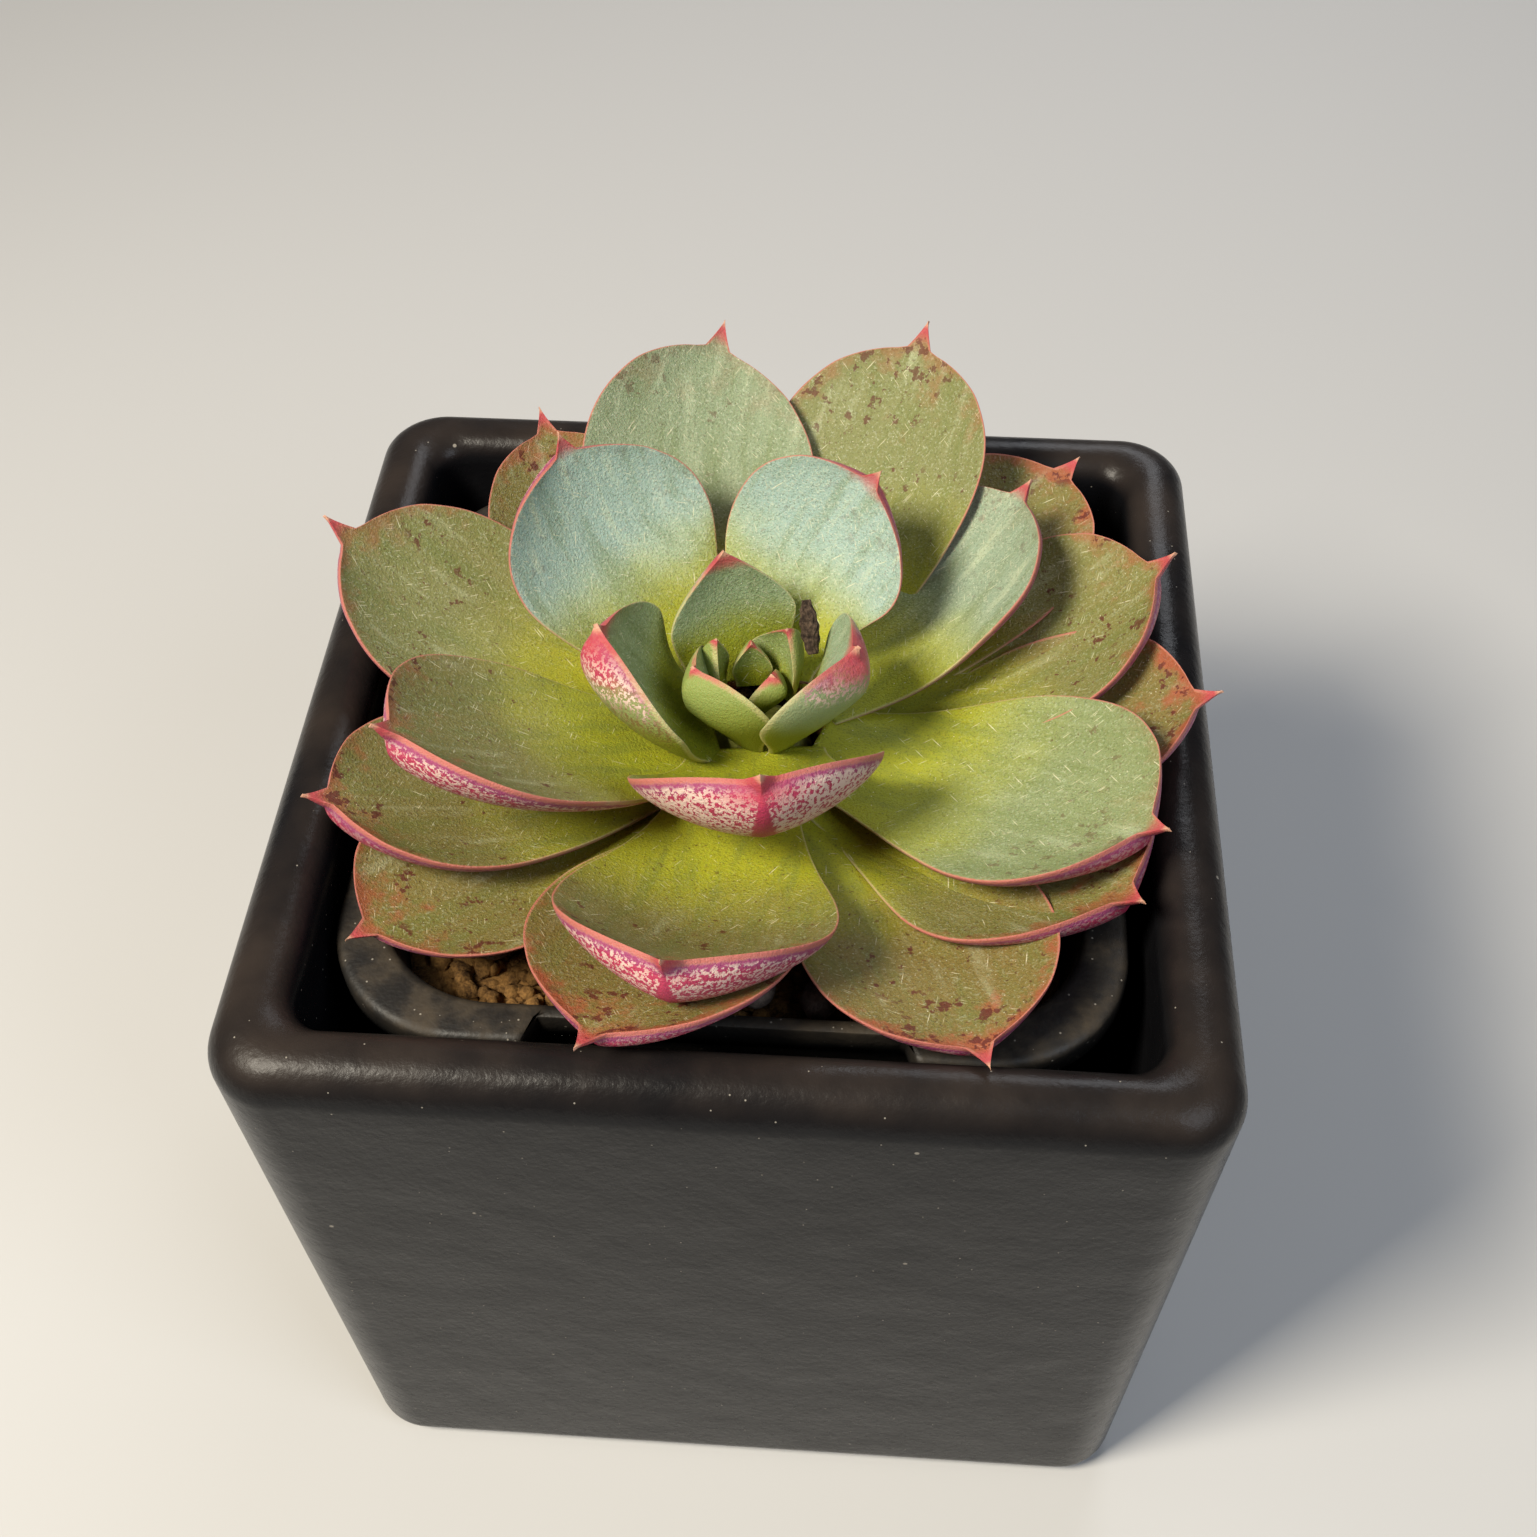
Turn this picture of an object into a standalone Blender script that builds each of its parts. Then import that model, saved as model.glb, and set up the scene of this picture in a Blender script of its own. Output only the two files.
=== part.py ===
"""Potted succulent: a fleshy rosette growing in a plastic nursery pot, dropped into a square glazed pot.

Origin at the centre of the glazed pot's foot, +Z up, front at -Y, everything at real size in metres.
Lengths below are in millimetres and are turned into metres where a mesh is made.
"""
import bpy
import bmesh
import math
import numpy as np

for leftover in list(bpy.data.objects):
    bpy.data.objects.remove(leftover, do_unlink=True)

MM = 0.001
GAP = 0.35                    # clearance kept between touching pieces

# Glazed outer pot
POT_WIDTH = 90.0              # across the sides just under the rim
POT_FOOT_WIDTH = 86.0         # across the sides at the foot
POT_HEIGHT = 82.0
POT_WALL = 7.0
POT_FLOOR = 6.0
POT_CORNER = 6.5              # radius of the upright outer corners
POT_INNER_CORNER = 3.5
RIM_OUTER_ROUND = 4.0         # the rim's round, outer part and inner part
RIM_INNER_ROUND = 3.0
FOOT_ROUND = 3.0

# Plastic nursery pot standing in it
NURSERY_TOP = 77.0            # height of its flange's top face
NURSERY_HALF = 36.6           # half width over the flange
NURSERY_FLANGE = 4.2
NURSERY_LIP_DEPTH = 3.0       # how far the flange's outer edge turns down
NURSERY_WALL = 1.2
NURSERY_CORNER = 13.0
NURSERY_FOOT_HALF = 25.0
NURSERY_FOOT_CORNER = 9.0
NOTCH_WIDTH = 34.0            # finger notch in the middle of each side of the flange
DRAIN_HOLE_RADIUS = 3.0
DRAIN_HOLE_RING = 15.0

# Soil and stem
SOIL_EDGE = 70.5              # height of the soil along the pot's wall
SOIL_MIDDLE = 69.5            # and around the stem
STEM_RADIUS = 6.3
STEM_FOOT = 58.0              # lower end of the rooted stem, in the soil
STEM_SHOULDER = 74.0
STEM_TOP = 79.5

# Leaves: the rosette's axis, the dome they grow from and their common section
ROSETTE_Y = 1.0
DOME_RADIUS = 7.6
DOME_BASE = 77.0
DOME_HEIGHT = 5.5
LEAF_THICKNESS = 3.4
NECK = 0.42                   # width at the base over the greatest width
WIDEST_AT = 0.60              # where along the leaf it is widest
SHOULDER_AT = 0.93            # where the round shoulders would close without the pointed tip
TIP_FROM = 0.86               # where the pointed tip starts
TIP_WIDTH = 0.28              # its width there, over the greatest width
ARCH_NECK = 0.8               # the same for the young leaves, whose outline is a pointed arch
ARCH_WIDEST = 0.45
KEEL = 0.45                   # extra thickness under the midrib, over the thickness
LEAF_STATIONS = 12
LEAF_SIDES = 10

# One row for each leaf, from the heart outwards:
# direction of the tip (degrees, 0 is +X, 270 is the front), reach of the tip from the axis,
# height of the tip, greatest width, bow (sag of the midrib over its chord), sideways bend and roll in
# degrees, cup (rise of the margins over half the width), and pointedness (0 round shoulders, 1 an arch).
LEAVES = [
    (330, 2, 87, 5, 0.15, 0, 0, 0.4, 0.8),
    (100, 1.5, 88.5, 4, 0.1, 0, 0, 0.4, 1),
    (42, 4, 89.5, 7, 0.15, 0, 0, 0.5, 0.8),
    (172, 3.5, 90, 4, 0.1, 0, 0, 0.4, 1),
    (221, 7, 91.5, 13, 0.05, -20, -10, 0.4, 0.5),
    (114, 8, 95, 13, 0.15, 0, 0, 0.2, 0.95),
    (336, 11, 95, 16, 0, 15, 5, 0.3, 0),
    (192, 14.5, 95, 19, 0.2, -10, 0, 0.35, 0.4),
    (276, 23, 98, 24, 0.25, 0, 4, 0.25, 0.35),
    (55, 20, 98, 20, 0.25, -22, 0, 0.25, 0),
    (137, 28, 99, 23, 0.35, 0, -5, 0.25, 0),
    (212, 37, 98.5, 23, 0.15, 0, 6, 0.25, 0),
    (264, 41, 96, 25, 0.35, 0, 0, 0.25, 0),
    (42, 36, 91, 23, 0.2, 4, -15, 0.25, 0),
    (332, 43, 90, 25, 0.2, -8, 0, 0.25, 0),
    (163, 46, 92, 24, 0.3, 0, 0, 0.25, 0),
    (98, 44, 95, 25, 0.2, -18, 8, 0.25, 0),
    (70, 46, 96, 25, 0.22, 0, -10, 0.25, 0),
    (19, 43, 91, 24, 0.28, 0, -6, 0.25, 0),
    (206, 44, 88, 21, 0.2, 0, 0, 0.25, 0),
    (325, 44, 86, 28, 0.25, -10, 0, 0.25, 0),
    (125, 46, 87, 21, 0.25, -8, 0, 0.25, 0),
    (255, 45, 86.5, 25, 0.08, -10, 5, 0.25, 0),
    (299, 47, 83, 23, 0.1, -10, 0, 0.25, 0),
    (222, 46, 82, 21, 0.1, 6, -5, 0.25, 0),
    (358, 44.5, 88, 23, 0.18, 0, 0, 0.25, 0),
    (46, 47, 86, 23, 0.1, 0, 0, 0.25, 0),
]

# Numbers of the leaves that the exact boolean solver empties; the manifold solver cuts these
HARD_TO_CUT = (26,)

# Dried leaf husk caught in the heart: its two ends, and its half width in the middle
HUSK_FOOT = (5.7, 1.7, 88.2)
HUSK_TIP = (4.8, 5.2, 92.0)
HUSK_HALF_WIDTH = 1.0
HUSK_FLATNESS = 0.7           # thickness over width

# Pebbles lying on the soil: x, y, size across, height
PEBBLES = [
    (2, -27, 5, 3.4),
    (8, -28, 5, 3.6),
    (-17, -26, 4, 3.0),
    (-23, -23, 5, 3.2),
    (-27, -17, 4, 2.8),
    (27, -20, 4, 3.0),
]


# ---------------------------------------------------------------- shared tools

def plain_material(name, colour, roughness):
    """A Principled material of one colour, roughness and no metal."""
    material = bpy.data.materials.new(name)
    material.use_nodes = True
    shader = material.node_tree.nodes["Principled BSDF"]
    shader.inputs["Base Color"].default_value = (*colour, 1.0)
    shader.inputs["Roughness"].default_value = roughness
    shader.inputs["Metallic"].default_value = 0.0
    material.diffuse_color = (*colour, 1.0)
    return material


def add_piece(name, vertices, faces, material):
    """Makes a mesh object from millimetre vertices, facing out and shaded smooth."""
    mesh = bpy.data.meshes.new(name)
    mesh.from_pydata([[value * MM for value in vertex] for vertex in vertices], [], faces)
    shell = bmesh.new()
    shell.from_mesh(mesh)
    bmesh.ops.recalc_face_normals(shell, faces=shell.faces)
    shell.to_mesh(mesh)
    shell.free()
    mesh.shade_smooth()
    mesh.set_sharp_from_angle(angle=math.radians(40))
    mesh.materials.append(material)
    piece = bpy.data.objects.new(name, mesh)
    bpy.context.scene.collection.objects.link(piece)
    return piece


def loft(rings):
    """Joins equal rings of points with quads and closes the first and the last ring."""
    count = len(rings[0])
    vertices = [point for ring in rings for point in ring]
    faces = [tuple(range(count))]
    faces.append(tuple(range(len(vertices) - count, len(vertices))))
    for level in range(len(rings) - 1):
        for side in range(count):
            after = (side + 1) % count
            faces.append((level * count + side, level * count + after,
                          (level + 1) * count + after, (level + 1) * count + side))
    return vertices, faces


def square_ring(half, corner, height, centre=(0.0, 0.0), steps=4):
    """A square ring with round corners; a corner as large as the half width makes it a circle."""
    corner = min(corner, half * 0.97)
    ring = []
    for quarter in range(4):
        middle = math.radians(45 + 90 * quarter)
        corner_x = math.copysign(half - corner, math.cos(middle))
        corner_y = math.copysign(half - corner, math.sin(middle))
        for step in range(steps + 1):
            angle = math.radians(90 * (quarter + step / steps))
            ring.append((centre[0] + corner_x + corner * math.cos(angle),
                         centre[1] + corner_y + corner * math.sin(angle), height))
    return ring


def cut_with(piece, cutters, solver='EXACT'):
    """Takes the cutters out of a piece with booleans, in place, and removes them."""
    for cutter in cutters:
        cutter.hide_render = True
        cutter.display_type = 'WIRE'
        cut = piece.modifiers.new("cut", 'BOOLEAN')
        cut.operation = 'DIFFERENCE'
        cut.solver = solver
        cut.object = cutter
    bpy.context.view_layer.update()
    view = bpy.context.evaluated_depsgraph_get()
    result = bpy.data.meshes.new_from_object(piece.evaluated_get(view))
    piece.modifiers.clear()
    piece.data = result
    for cutter in cutters:
        bpy.data.objects.remove(cutter, do_unlink=True)


# ---------------------------------------------------------------- glazed outer pot

def build_cachepot():
    """One lofted shell: foot, straight tapering sides, round rim, cavity and floor."""
    glaze = plain_material("charcoal_glaze", (0.035, 0.035, 0.038), 0.35)
    foot_half = POT_FOOT_WIDTH / 2
    top_half = POT_WIDTH / 2
    rings = []
    for step in range(4):
        angle = math.radians(30 * step)
        inset = FOOT_ROUND * (1 - math.sin(angle))
        rings.append(square_ring(foot_half - inset, POT_CORNER - inset, FOOT_ROUND * (1 - math.cos(angle))))
    for step in range(6):
        angle = math.radians(18 * step)
        inset = RIM_OUTER_ROUND * (1 - math.cos(angle))
        rings.append(square_ring(top_half - inset, POT_CORNER - inset * 0.6,
                                 POT_HEIGHT - RIM_OUTER_ROUND * (1 - math.sin(angle))))
    for step in range(1, 5):
        angle = math.radians(22.5 * step)
        inset = RIM_OUTER_ROUND + RIM_INNER_ROUND * math.sin(angle)
        rings.append(square_ring(top_half - inset, POT_INNER_CORNER,
                                 POT_HEIGHT - RIM_INNER_ROUND * (1 - math.cos(angle))))
    inner_foot = foot_half - POT_WALL
    rings.append(square_ring(inner_foot, POT_INNER_CORNER, POT_FLOOR + FOOT_ROUND))
    rings.append(square_ring(inner_foot - 1, POT_INNER_CORNER, POT_FLOOR + 1))
    rings.append(square_ring(inner_foot - FOOT_ROUND, POT_INNER_CORNER, POT_FLOOR))
    add_piece("cachepot", *loft(rings), glaze)


# ---------------------------------------------------------------- nursery pot

NURSERY_CENTRE = (-0.6, 0.4)
NURSERY_FLOOR = POT_FLOOR + GAP
NURSERY_MOUTH = NURSERY_HALF - NURSERY_FLANGE          # half width inside the flange


def nursery_corner(half):
    """Corner radius of the nursery pot at a half width: it shrinks evenly towards the foot."""
    share = (half - NURSERY_FOOT_HALF) / (NURSERY_HALF - NURSERY_FOOT_HALF)
    return NURSERY_FOOT_CORNER + (NURSERY_CORNER - NURSERY_FOOT_CORNER) * share


def nursery_ring(half, height):
    """A ring of the nursery pot at a half width and a height."""
    return square_ring(half, nursery_corner(half), height, NURSERY_CENTRE)


def build_nursery_pot():
    """A thin tapering shell with a turned-down flange, notched on each side and drained below."""
    plastic = plain_material("black_plastic", (0.03, 0.028, 0.025), 0.6)
    under = NURSERY_TOP - NURSERY_WALL
    rings = [
        nursery_ring(NURSERY_FOOT_HALF, NURSERY_FLOOR),
        nursery_ring(NURSERY_MOUTH + NURSERY_WALL - 0.4, under),
        nursery_ring(NURSERY_HALF - NURSERY_WALL, under),
        nursery_ring(NURSERY_HALF - NURSERY_WALL + 0.1, NURSERY_TOP - NURSERY_LIP_DEPTH),
        nursery_ring(NURSERY_HALF, NURSERY_TOP - NURSERY_LIP_DEPTH),
        nursery_ring(NURSERY_HALF, NURSERY_TOP - 0.7),
        nursery_ring(NURSERY_HALF - 0.6, NURSERY_TOP),
        nursery_ring(NURSERY_MOUTH + 0.5, NURSERY_TOP),
        nursery_ring(NURSERY_MOUTH, NURSERY_TOP - 0.6),
        nursery_ring(NURSERY_FOOT_HALF - NURSERY_WALL, NURSERY_FLOOR + NURSERY_WALL),
    ]
    shell = add_piece("nursery_pot", *loft(rings), plastic)
    cutters = []
    notch_reach = NURSERY_FLANGE - NURSERY_WALL
    for quarter in range(4):
        angle = math.radians(90 * quarter)
        away = NURSERY_HALF - notch_reach / 2 + 0.5
        across = abs(math.cos(angle)) > 0.5
        cutter = add_box("notch", (NURSERY_CENTRE[0] + away * math.cos(angle),
                                   NURSERY_CENTRE[1] + away * math.sin(angle), NURSERY_TOP),
                         (notch_reach + 1 if across else NOTCH_WIDTH,
                          NOTCH_WIDTH if across else notch_reach + 1, 2 * NURSERY_LIP_DEPTH + 1), plastic)
        cutters.append(cutter)
    for hole in range(5):
        angle = math.radians(45 + 90 * hole)
        ring = DRAIN_HOLE_RING if hole < 4 else 0.0
        centre = (NURSERY_CENTRE[0] + ring * math.cos(angle), NURSERY_CENTRE[1] + ring * math.sin(angle))
        rims = [square_ring(DRAIN_HOLE_RADIUS, DRAIN_HOLE_RADIUS, NURSERY_FLOOR + lift, centre, 3)
                for lift in (-2, 4)]
        cutters.append(add_piece("drain", *loft(rims), plastic))
    cut_with(shell, cutters)


def add_box(name, centre, size, material):
    """A plain box, used as a cutter."""
    low = [middle - length / 2 for middle, length in zip(centre, size)]
    high = [middle + length / 2 for middle, length in zip(centre, size)]
    rings = [[(low[0], low[1], height), (high[0], low[1], height),
              (high[0], high[1], height), (low[0], high[1], height)] for height in (low[2], high[2])]
    return add_piece(name, *loft(rings), material)


# ---------------------------------------------------------------- soil, stem and pebbles

def build_soil():
    """The root ball: it fills the nursery pot and has a socket in the middle for the stem."""
    grit = plain_material("golden_grit", (0.42, 0.27, 0.10), 0.95)
    foot = NURSERY_FLOOR + NURSERY_WALL + GAP
    slope = (NURSERY_MOUTH - NURSERY_FOOT_HALF + NURSERY_WALL) / (NURSERY_TOP - NURSERY_FLOOR - NURSERY_WALL)
    top_half = NURSERY_MOUTH - slope * (NURSERY_TOP - SOIL_EDGE) - GAP - 0.1
    socket = STEM_RADIUS + GAP
    rings = [
        nursery_ring(NURSERY_FOOT_HALF - NURSERY_WALL - GAP, foot),
        nursery_ring(top_half, SOIL_EDGE),
        nursery_ring(top_half * 0.75, SOIL_EDGE + 0.4),
        square_ring(top_half * 0.45, top_half * 0.45, SOIL_MIDDLE, (0, ROSETTE_Y)),
        square_ring(socket, socket, SOIL_MIDDLE, (0, ROSETTE_Y)),
        square_ring(socket, socket, STEM_FOOT - GAP, (0, ROSETTE_Y)),
    ]
    add_piece("soil", *loft(rings), grit)


def build_stem():
    """A short thick stem, rooted in the socket and domed where the leaves grow."""
    bark = plain_material("brown_stem", (0.30, 0.22, 0.12), 0.8)
    rings = [square_ring(STEM_RADIUS * 0.7, STEM_RADIUS, STEM_FOOT, (0, ROSETTE_Y), 3),
             square_ring(STEM_RADIUS, STEM_RADIUS, STEM_FOOT + 3, (0, ROSETTE_Y), 3)]
    for step in range(6):
        angle = math.radians(16 * step)
        radius = STEM_RADIUS * math.cos(angle)
        height = STEM_SHOULDER + (STEM_TOP - STEM_SHOULDER) * math.sin(angle)
        rings.append(square_ring(radius, radius, height, (0, ROSETTE_Y), 3))
    add_piece("stem", *loft(rings), bark)


def build_pebbles():
    """Rounded stones that lie loose on the soil, each squashed and turned its own way."""
    stone = plain_material("grey_pebble", (0.33, 0.27, 0.22), 0.85)
    for number, (x, y, across, tall) in enumerate(PEBBLES, start=1):
        ball = bmesh.new()
        bmesh.ops.create_icosphere(ball, subdivisions=1, radius=0.5)
        turn = 0.9 * number
        points = []
        for vertex in ball.verts:
            bump = 1 + 0.14 * math.sin(5 * vertex.co.x * 2 + number) * math.cos(4 * vertex.co.y * 2)
            px, py, pz = (value * bump for value in vertex.co)
            px, py = across * px, 0.8 * across * py
            points.append((x + px * math.cos(turn) - py * math.sin(turn),
                           y + px * math.sin(turn) + py * math.cos(turn), tall * pz))
        faces = [[corner.index for corner in face.verts] for face in ball.faces]
        ball.free()
        lowest = min(point[2] for point in points)
        rest = SOIL_EDGE + 0.6 + GAP - lowest
        add_piece(f"pebble_{number}", [(px, py, pz + rest) for px, py, pz in points], faces, stone)


# ---------------------------------------------------------------- leaves

def ease(value, low, high):
    """Rises smoothly from 0 to 1 as the value goes from low to high."""
    share = np.clip((value - low) / (high - low), 0.0, 1.0)
    return share * share * (3 - 2 * share)


def leaf_width(along, pointed):
    """Width of a leaf over its greatest width, at shares of its length from base to tip.

    Round shoulders with a small hollow-sided point; a pointed arch takes over as pointed nears 1.
    """
    rising = NECK + (1 - NECK) * ease(along, -0.05, WIDEST_AT)
    past = np.clip((along - WIDEST_AT) / (SHOULDER_AT - WIDEST_AT), 0.0, 1.0)
    blade = np.where(along < WIDEST_AT, rising, (1 - past ** 2.4) ** 0.55)
    point = TIP_WIDTH * np.clip((1 - along) / (1 - TIP_FROM), 0.0, 1.0) ** 1.25
    tip = (blade ** 3 + point ** 3) ** (1 / 3)
    blade = blade + (tip - blade) * ease(along, TIP_FROM - 0.06, TIP_FROM)
    past = np.clip((along - ARCH_WIDEST) / (1 - ARCH_WIDEST), 0.0, 1.0)
    arch = np.where(along < ARCH_WIDEST, ARCH_NECK + (1 - ARCH_NECK) * ease(along, 0.0, ARCH_WIDEST),
                    (1 - past ** 1.7) ** 1.2)
    return blade + (arch - blade) * pointed


def leaf_base(order):
    """Radius and height on the dome where a leaf grows; order 0 is the heart, 1 the lowest leaf."""
    angle = math.radians(90) * order ** 0.7
    return DOME_RADIUS * math.sin(angle), DOME_BASE + DOME_HEIGHT * math.cos(angle) - 2 * order


def leaf_shape(row, order, grown=0.0):
    """Vertices and faces of one leaf.

    The midrib is a quadratic curve from the dome to the tip, sagging by bow times its chord.
    Each section across it is a half lens, nearly flat above and full below, with raised edges.
    """
    direction, reach, height, width, bow, bend, roll, cup, pointed = row
    base_radius, base_height = leaf_base(order)
    tip_turn = math.radians(direction)
    base_turn = math.radians(direction - bend)
    outward = np.array([math.cos(base_turn), math.sin(base_turn), 0.0])
    upward = np.array([0.0, 0.0, 1.0])
    base = outward * base_radius + upward * base_height
    tip = np.array([reach * math.cos(tip_turn), reach * math.sin(tip_turn), height])
    chord = tip - base
    run = chord @ outward
    sag = outward * chord[2] - upward * run
    knee = base + outward * run / 2 + upward * chord[2] / 2 + sag * bow

    along = 1 - (1 - np.linspace(0.0, 1.0, LEAF_STATIONS)) ** 1.3
    share = along[:, None]
    midrib = (1 - share) ** 2 * base + 2 * share * (1 - share) * knee + share ** 2 * tip
    forward = 2 * (1 - share) * (knee - base) + 2 * share * (tip - knee)
    forward /= np.linalg.norm(forward, axis=1)[:, None]
    middle_turn = base_turn + 0.7 * (tip_turn - base_turn)
    sideways = np.tile([-math.sin(middle_turn), math.cos(middle_turn), 0.0], (LEAF_STATIONS, 1))
    sideways -= forward * np.sum(sideways * forward, axis=1)[:, None]
    sideways /= np.linalg.norm(sideways, axis=1)[:, None]
    facing = np.cross(forward, sideways)
    tilt = np.radians(roll) * ease(along, 0.05, 0.6)[:, None]
    edge = sideways * np.cos(tilt) + facing * np.sin(tilt)
    facing = facing * np.cos(tilt) - sideways * np.sin(tilt)

    around = np.linspace(0.0, 2 * math.pi, LEAF_SIDES, endpoint=False)
    across = np.cos(around)[None, :]
    half = (leaf_width(along, pointed) * width / 2 + grown)[:, None]
    fullness = np.clip(leaf_width(np.maximum(along, WIDEST_AT), pointed), 0.02, 1.0) ** 0.6
    thickness = LEAF_THICKNESS * min(1.0, 0.35 + width / 30) * (1 - 0.3 * ease(order, 0.7, 1.0))
    thick = (thickness * (0.6 + 0.4 * ease(along, 0.0, 0.5)) * fullness)[:, None]
    cupping = (cup * ease(along, 0.0, 0.5))[:, None] * half * across ** 2
    keel = 1 + KEEL * (1 - abs(across)) ** 1.5 * ease(along, 0.3, 0.85)[:, None]
    rise = np.sin(around)[None, :]
    depth = np.where(rise > 0, 0.15 * thick + grown, 0.85 * keel * thick + grown) * rise + cupping
    points = (midrib[:, None, :] + edge[:, None, :] * (half * across)[..., None]
              + facing[:, None, :] * depth[..., None])
    points[:, :, 1] += ROSETTE_Y

    last = tip + np.array([0.0, ROSETTE_Y, 0.0]) + forward[-1] * grown
    rings = [ring.tolist() for ring in points[:-1]]
    vertices, faces = loft(rings)
    point = len(vertices)
    vertices.append(last.tolist())
    end = faces.pop(1)
    for side in range(LEAF_SIDES):
        faces.append((end[side], end[(side + 1) % LEAF_SIDES], point))
    return vertices, faces


def keep_largest(piece):
    """Drops the crumbs that a cut leaves: only the island of faces with the greatest volume stays."""
    shell = bmesh.new()
    shell.from_mesh(piece.data)
    left = set(shell.faces)
    volumes = []
    while left:
        island = {left.pop()}
        front = list(island)
        while front:
            face = front.pop()
            for edge in face.edges:
                for other in edge.link_faces:
                    if other not in island:
                        island.add(other)
                        front.append(other)
        left -= island
        volume = sum(face.calc_area() * face.normal.dot(face.calc_center_median()) for face in island)
        volumes.append((abs(volume), len(volumes), island))
    kept = max(volumes)[2]
    crumbs = [face for face in shell.faces if face not in kept]
    bmesh.ops.delete(shell, geom=crumbs, context='FACES')
    shell.to_mesh(piece.data)
    shell.free()


def boxes_meet(first, second):
    """True where the boxes around two sets of millimetre vertices overlap."""
    first, second = np.array(first), np.array(second)
    return bool(np.all(first.min(0) < second.max(0)) and np.all(second.min(0) < first.max(0)))


def build_leaves():
    """The leaves from the heart outwards; each gives way where the ones inside it press on it."""
    flesh = plain_material("leaf_flesh", (0.22, 0.27, 0.10), 0.5)
    orders = [(number + 1) / len(LEAVES) for number in range(len(LEAVES))]
    grown = [leaf_shape(row, order, GAP) for row, order in zip(LEAVES, orders)]
    for number, (row, order) in enumerate(zip(LEAVES, orders)):
        vertices, faces = leaf_shape(row, order)
        leaf = add_piece(f"leaf_{number + 1:02d}", vertices, faces, flesh)
        cutters = [add_piece("presser", *grown[inner], flesh) for inner in range(number)
                   if boxes_meet(vertices, grown[inner][0])]
        if cutters:
            cut_with(leaf, cutters, 'MANIFOLD' if number + 1 in HARD_TO_CUT else 'EXACT')
            keep_largest(leaf)


def build_husk():
    """A shrivelled leaf that leans between the heart leaves: a flattened spindle between its two ends."""
    dry = plain_material("dried_husk", (0.20, 0.11, 0.05), 0.9)
    foot, tip = np.array(HUSK_FOOT), np.array(HUSK_TIP)
    forward = (tip - foot) / np.linalg.norm(tip - foot)
    sideways = np.cross(forward, (0.0, 1.0, 0.0))
    sideways /= np.linalg.norm(sideways)
    facing = np.cross(forward, sideways)
    turn = np.linspace(0.0, 2 * math.pi, 8, endpoint=False)[:, None]
    rings = []
    for share in np.linspace(0.0, 1.0, 7):
        half = HUSK_HALF_WIDTH * (0.35 + 0.65 * math.sin(math.pi * (0.1 + 0.85 * share)))
        ring = foot + (tip - foot) * share + half * (sideways * np.cos(turn)
                                                     + HUSK_FLATNESS * facing * np.sin(turn))
        rings.append(ring.tolist())
    add_piece("dried_husk", *loft(rings), dry)


build_cachepot()
build_nursery_pot()
build_soil()
build_stem()
build_pebbles()
build_leaves()
build_husk()
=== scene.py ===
"""Potted succulent: a fleshy rosette with pink margins, in a nursery pot set in a square glazed pot."""
import math
from types import SimpleNamespace

import bpy
import numpy as np
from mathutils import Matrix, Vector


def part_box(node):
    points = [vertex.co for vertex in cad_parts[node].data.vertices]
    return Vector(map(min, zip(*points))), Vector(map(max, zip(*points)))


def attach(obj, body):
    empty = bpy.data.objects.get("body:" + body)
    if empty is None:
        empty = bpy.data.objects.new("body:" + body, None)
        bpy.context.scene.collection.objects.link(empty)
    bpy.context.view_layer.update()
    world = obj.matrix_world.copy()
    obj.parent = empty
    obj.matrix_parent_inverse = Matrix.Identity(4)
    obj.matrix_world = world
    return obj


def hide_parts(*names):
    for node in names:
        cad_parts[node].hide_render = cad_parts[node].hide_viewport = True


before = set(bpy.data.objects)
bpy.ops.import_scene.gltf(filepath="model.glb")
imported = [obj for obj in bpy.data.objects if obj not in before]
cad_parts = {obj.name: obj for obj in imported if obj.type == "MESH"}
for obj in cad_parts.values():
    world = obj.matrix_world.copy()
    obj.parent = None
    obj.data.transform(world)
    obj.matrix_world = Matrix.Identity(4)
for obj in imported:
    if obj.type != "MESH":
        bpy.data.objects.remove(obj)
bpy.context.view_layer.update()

# ---------------------------------------------------------------- floor, camera and light
# A pale matt floor, three soft lamps and a dim even room. The camera looks down on the
# front of the pot from a little to its right, close enough for strong perspective.

MM = 0.001
CAMERA_AIM = (1.8, -5.3, 79.2)
CAMERA_DISTANCE = 184.5
CAMERA_AZIMUTH = 4.6
CAMERA_ELEVATION = 49.7
CAMERA_ROLL = -0.9
CAMERA_LENS = 44.4
FLOOR_COLOUR = (0.52, 0.51, 0.50)
# Each lamp: name, place, width, power, colour
LAMPS = [
    ("key_lamp", (-300, -230, 540), 170, 6.0, (1.0, 0.93, 0.79)),
    ("fill_lamp", (330, -260, 470), 260, 1.15, (0.80, 0.89, 1.0)),
    ("back_lamp", (120, 430, 400), 240, 0.9, (0.92, 0.95, 1.0)),
]


def make_floor():
    """One large pale square under the pot."""
    bpy.ops.mesh.primitive_plane_add(size=3.0, location=(0, 0, 0))
    floor = bpy.context.object
    floor.name = "floor"
    pale = bpy.data.materials.new("pale_floor")
    pale.use_nodes = True
    shader = pale.node_tree.nodes["Principled BSDF"]
    shader.inputs["Base Color"].default_value = (*FLOOR_COLOUR, 1)
    shader.inputs["Roughness"].default_value = 0.9
    floor.data.materials.append(pale)


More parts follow.
